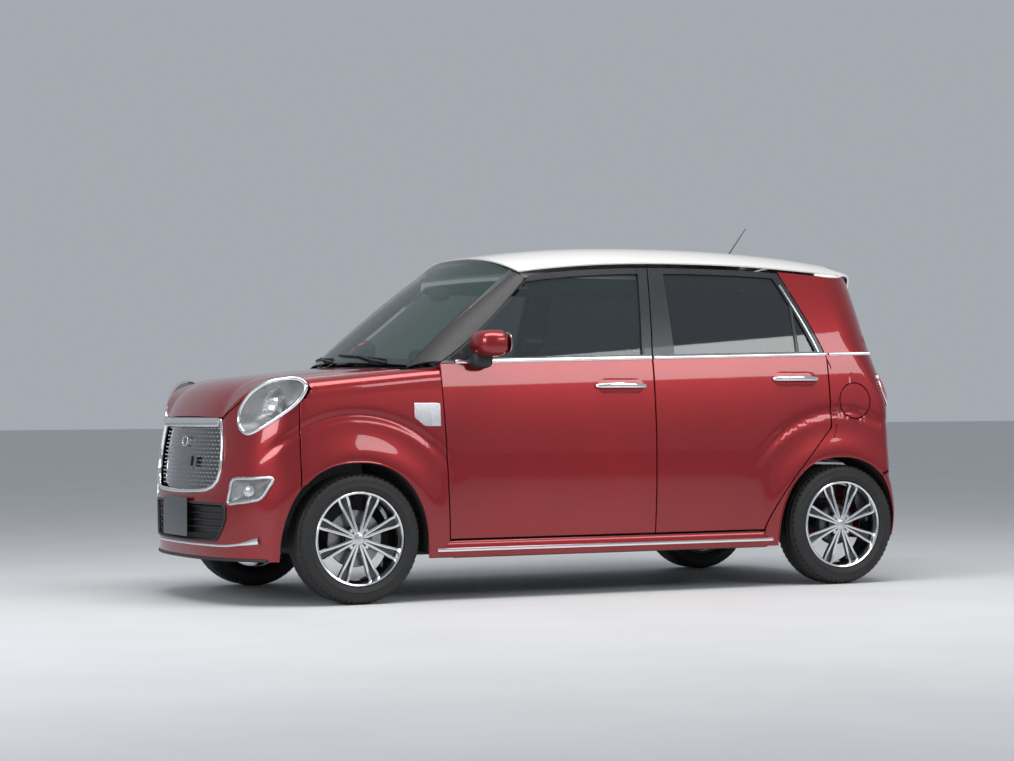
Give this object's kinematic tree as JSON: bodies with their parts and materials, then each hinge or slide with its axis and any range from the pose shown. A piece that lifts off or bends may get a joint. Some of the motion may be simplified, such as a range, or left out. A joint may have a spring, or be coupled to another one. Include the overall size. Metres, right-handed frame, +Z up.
{
  "type": "kei car",
  "caption": "Small upright hatchback car with hinged doors, bonnet, tailgate and fuel lid, rolling wheels and coupled front steering.",
  "frame": {"origin": "on the ground under the middle of the bounding box", "axes": "+X forward, +Y to the car's left, +Z up"},
  "size_m": [3.395, 1.73, 1.7238],
  "materials": {
    "body_paint": "deep metallic red gloss",
    "roof_paint": "pearl white gloss",
    "black_trim": "matt black",
    "chassis_black": "satin black",
    "glass": "clear, slightly green",
    "dark_glass": "tinted",
    "lamp_clear": "clear lens",
    "lamp_red": "red lens",
    "cabin_plastic": "grained",
    "seat_fabric": "woven",
    "cast_metal": "raw",
    "exhaust_steel": "dull",
    "rim_alloy": "machined",
    "tyre_rubber": "matt"
  },
  "bodies": {
    "car_body": {"floor_pan": "chassis_black", "side_frames": "black_trim", "roof_panel": "roof_paint", "windshield": "glass", "cowl_panel": "black_trim", "front_fenders": "body_paint", "rear_quarters": "body_paint", "front_bumper": "body_paint", "front_grille": "black_trim", "front_lamps": "lamp_clear", "tail_lamps": "lamp_red", "rear_bumper": "body_paint", "wheel_arch_liners": "black_trim", "dashboard": "cabin_plastic", "seats": "seat_fabric", "engine_block": "cast_metal", "front_subframe": "chassis_black", "rear_axle_beam": "chassis_black", "exhaust": "exhaust_steel", "antenna": "black_trim"},
    "bonnet_lid": {"bonnet": "body_paint"},
    "fuel_flap": {"fuel_lid": "body_paint"},
    "door_front_left": {"front_door_left": "body_paint", "front_door_glass_left": "glass", "door_mirror_left": "body_paint"},
    "door_front_right": {"front_door_right": "body_paint", "front_door_glass_right": "glass", "door_mirror_right": "body_paint"},
    "door_rear_left": {"rear_door_left": "body_paint", "rear_door_glass_left": "dark_glass"},
    "door_rear_right": {"rear_door_right": "body_paint", "rear_door_glass_right": "dark_glass"},
    "rear_hatch": {"tailgate": "body_paint", "tailgate_glass": "dark_glass"},
    "steering": {"steering_wheel": "cabin_plastic"},
    "hub_left": {"knuckle_left": "cast_metal"},
    "hub_right": {"knuckle_right": "cast_metal"},
    "wheel_front_left": {"front_rim_left": "rim_alloy", "front_tyre_left": "tyre_rubber"},
    "wheel_front_right": {"front_rim_right": "rim_alloy", "front_tyre_right": "tyre_rubber"},
    "wheel_rear_left": {"rear_rim_left": "rim_alloy", "rear_tyre_left": "tyre_rubber"},
    "wheel_rear_right": {"rear_rim_right": "rim_alloy", "rear_tyre_right": "tyre_rubber"}
  },
  "joints": [
    {"name": "bonnet_hinge", "type": "hinge", "parent": "car_body", "child": "bonnet_lid", "pos_m": [0.878, 0, 1.03], "axis": [0, -1, 0], "range_deg": [0, 50]},
    {"name": "fuel_lid_hinge", "type": "hinge", "parent": "car_body", "child": "fuel_flap", "pos_m": [-1.3305, 0.722, 0.863], "axis": [0, 0, -1], "range_deg": [0, 100]},
    {"name": "front_door_left_hinge", "type": "hinge", "parent": "car_body", "child": "door_front_left", "pos_m": [0.736, 0.728, 0.6], "axis": [0, 0, -1], "range_deg": [0, 65]},
    {"name": "front_door_right_hinge", "type": "hinge", "parent": "car_body", "child": "door_front_right", "pos_m": [0.736, -0.728, 0.6], "axis": [0, 0, 1], "range_deg": [0, 65]},
    {"name": "rear_door_left_hinge", "type": "hinge", "parent": "car_body", "child": "door_rear_left", "pos_m": [-0.333, 0.728, 0.6], "axis": [0, 0, -1], "range_deg": [0, 70]},
    {"name": "rear_door_right_hinge", "type": "hinge", "parent": "car_body", "child": "door_rear_right", "pos_m": [-0.333, -0.728, 0.6], "axis": [0, 0, 1], "range_deg": [0, 70]},
    {"name": "tailgate_hinge", "type": "hinge", "parent": "car_body", "child": "rear_hatch", "pos_m": [-1.472, 0, 1.545], "axis": [0, 1, 0], "range_deg": [0, 80]},
    {"name": "steer_left", "type": "hinge", "parent": "car_body", "child": "hub_left", "pos_m": [1.1225, 0.588, 0.281], "axis": [0, 0, 1], "range_deg": [-33, 33]},
    {"name": "steer_right", "type": "hinge", "parent": "car_body", "child": "hub_right", "pos_m": [1.1225, -0.588, 0.281], "axis": [0, 0, 1], "range_deg": [-33, 33]},
    {"name": "steering_wheel_turn", "type": "hinge", "parent": "car_body", "child": "steering", "pos_m": [0.33, -0.32, 0.95], "axis": [-0.9136, 0, 0.4067], "range_deg": [-450, 450]},
    {"name": "front_left_wheel_spin", "type": "hinge", "parent": "hub_left", "child": "wheel_front_left", "pos_m": [1.1225, 0.65, 0.281], "axis": [0, 1, 0], "continuous": true},
    {"name": "front_right_wheel_spin", "type": "hinge", "parent": "hub_right", "child": "wheel_front_right", "pos_m": [1.1225, -0.65, 0.281], "axis": [0, 1, 0], "continuous": true},
    {"name": "rear_left_wheel_spin", "type": "hinge", "parent": "car_body", "child": "wheel_rear_left", "pos_m": [-1.3325, 0.65, 0.281], "axis": [0, 1, 0], "continuous": true},
    {"name": "rear_right_wheel_spin", "type": "hinge", "parent": "car_body", "child": "wheel_rear_right", "pos_m": [-1.3325, -0.65, 0.281], "axis": [0, 1, 0], "continuous": true}
  ],
  "couplings": [
    {"joint": "steer_right", "follows": "steer_left", "ratio": 1},
    {"joint": "steering_wheel_turn", "follows": "steer_left", "ratio": 13.6}
  ]
}
